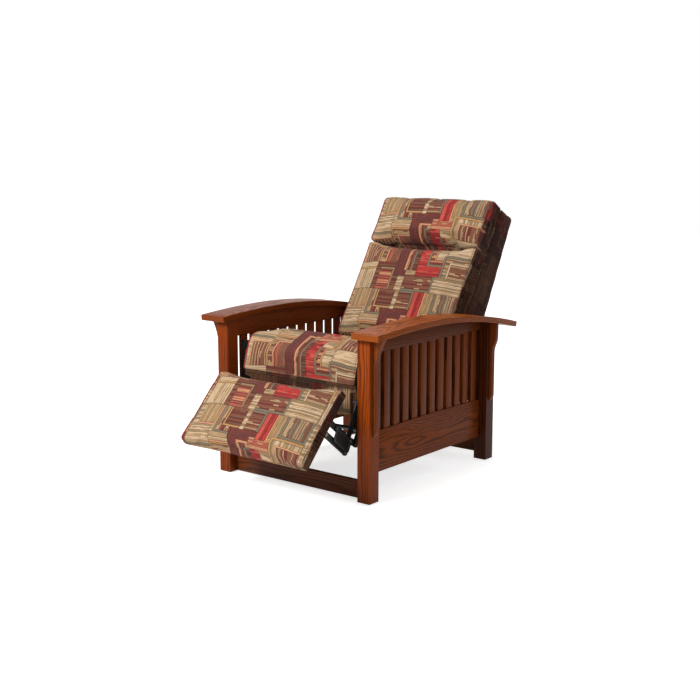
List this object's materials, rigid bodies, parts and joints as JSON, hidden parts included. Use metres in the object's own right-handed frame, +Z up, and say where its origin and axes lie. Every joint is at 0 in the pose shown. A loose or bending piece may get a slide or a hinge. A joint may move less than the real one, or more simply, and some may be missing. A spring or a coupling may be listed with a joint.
{
  "type": "reclining armchair",
  "caption": "Mission-style oak reclining armchair with bow arms, side slats, patchwork cushions and a linked footrest.",
  "frame": {"origin": "on the floor under the middle of the half-open chair", "axes": "+Z up, +Y to the rear of the chair, +X to the sitter's left"},
  "size_m": [0.846, 1.3484, 1.0249],
  "materials": {
    "oak": "satin, reddish brown stain, open grain",
    "patchwork_fabric": "woven geometric patchwork, matt",
    "boxing_fabric": "woven dark red boxing, matt",
    "inner_wood": "plain sawn, unfinished",
    "webbing": "woven elastic webbing",
    "black_steel": "semi-gloss black",
    "zinc_steel": "bright zinc plated",
    "glide_plastic": "matt brown"
  },
  "bodies": {
    "frame": {"front_leg_right": "oak", "front_leg_left": "oak", "rear_leg_right": "oak", "rear_leg_left": "oak", "arm_right": "oak", "arm_left": "oak", "side_bottom_rail_right": "oak", "side_bottom_rail_left": "oak", "side_top_rail_right": "oak", "side_top_rail_left": "oak", "side_slats_right": "oak", "side_slats_left": "oak", "front_corbels": "oak", "rear_corbels": "oak", "front_stretcher": "oak", "rear_stretcher": "oak", "floor_glides": "glide_plastic", "base_plate_right": "black_steel", "base_plate_left": "black_steel", "base_plate_bolts": "zinc_steel", "base_plate_rivets": "zinc_steel"},
    "rear_swing": {"rear_swing_links": "black_steel"},
    "front_swing": {"front_swing_links": "black_steel"},
    "seat": {"seat_side_rail_right": "inner_wood", "seat_side_rail_left": "inner_wood", "seat_front_rail": "inner_wood", "seat_rear_rail": "inner_wood", "seat_webbing": "webbing", "seat_cushion": "patchwork_fabric", "seat_apron": "boxing_fabric", "back_hinge_plate_right": "black_steel", "back_hinge_plate_left": "black_steel", "back_hinge_pins": "zinc_steel", "seat_plate_bolts": "zinc_steel", "footrest_side_plate_right": "black_steel", "footrest_side_plate_left": "black_steel", "side_plate_rivets": "zinc_steel", "front_cross_tube": "black_steel", "rear_cross_tube": "black_steel", "cross_tube_pins": "zinc_steel"},
    "back": {"back_cushion": "patchwork_fabric", "head_cushion": "patchwork_fabric", "back_shell": "boxing_fabric", "back_posts": "inner_wood", "back_rails": "inner_wood", "back_arm_plate_right": "black_steel", "back_arm_plate_left": "black_steel", "back_arm_bolts": "zinc_steel"},
    "front_link": {"lower_front_links": "black_steel", "front_knee_rivets": "zinc_steel"},
    "rear_link": {"lower_rear_links": "black_steel", "link_cross_tube": "black_steel", "rear_knee_rivets": "zinc_steel"},
    "long_link": {"upper_long_links": "black_steel"},
    "short_link": {"upper_short_links": "black_steel"},
    "footrest": {"footrest_cushion": "patchwork_fabric", "footrest_board": "inner_wood", "footrest_bracket_right": "black_steel", "footrest_bracket_left": "black_steel", "footrest_rivets": "zinc_steel"}
  },
  "joints": [
    {"name": "glide", "type": "hinge", "parent": "frame", "child": "rear_swing", "pos_m": [0, 0.13756, 0.15196], "axis": [1, 0, 0], "range_deg": [-25.8, 20.4]},
    {"name": "front_swing", "type": "hinge", "parent": "frame", "child": "front_swing", "pos_m": [0, -0.14744, 0.21046], "axis": [1, 0, 0], "range_deg": [-25.82, 20.42]},
    {"name": "seat_level", "type": "hinge", "parent": "rear_swing", "child": "seat", "pos_m": [0, 0.1176, 0.24586], "axis": [1, 0, 0], "range_deg": [-20.42, 25.82]},
    {"name": "recline", "type": "hinge", "parent": "seat", "child": "back", "pos_m": [0, 0.19364, 0.45197], "axis": [-1, 0, 0], "range_deg": [-14.02, 11.09]},
    {"name": "footrest_lift", "type": "hinge", "parent": "seat", "child": "front_link", "pos_m": [0, -0.3124, 0.3765], "axis": [-1, 0, 0], "range_deg": [-43.02, 34.02]},
    {"name": "rear_link_turn", "type": "hinge", "parent": "seat", "child": "rear_link", "pos_m": [0, -0.2708, 0.3526], "axis": [-1, 0, 0], "range_deg": [-43.02, 34.02]},
    {"name": "long_link_turn", "type": "hinge", "parent": "front_link", "child": "long_link", "pos_m": [0, -0.39043, 0.21651], "axis": [-1, 0, 0], "range_deg": [-34.02, 43.02]},
    {"name": "short_link_turn", "type": "hinge", "parent": "front_link", "child": "short_link", "pos_m": [0, -0.4106, 0.17517], "axis": [-1, 0, 0], "range_deg": [-34.02, 43.02]},
    {"name": "footrest_turn", "type": "hinge", "parent": "long_link", "child": "footrest", "pos_m": [0, -0.5003, 0.30448], "axis": [-1, 0, 0], "range_deg": [-43.02, 34.02]}
  ],
  "couplings": [
    {"joint": "front_swing", "follows": "glide", "ratio": 1},
    {"joint": "seat_level", "follows": "glide", "ratio": -1},
    {"joint": "recline", "follows": "glide", "ratio": 0.5427},
    {"joint": "footrest_lift", "follows": "glide", "ratio": 1.6667},
    {"joint": "rear_link_turn", "follows": "glide", "ratio": 1.6667},
    {"joint": "long_link_turn", "follows": "glide", "ratio": -1.6667},
    {"joint": "short_link_turn", "follows": "glide", "ratio": -1.6667},
    {"joint": "footrest_turn", "follows": "glide", "ratio": 1.6667}
  ]
}
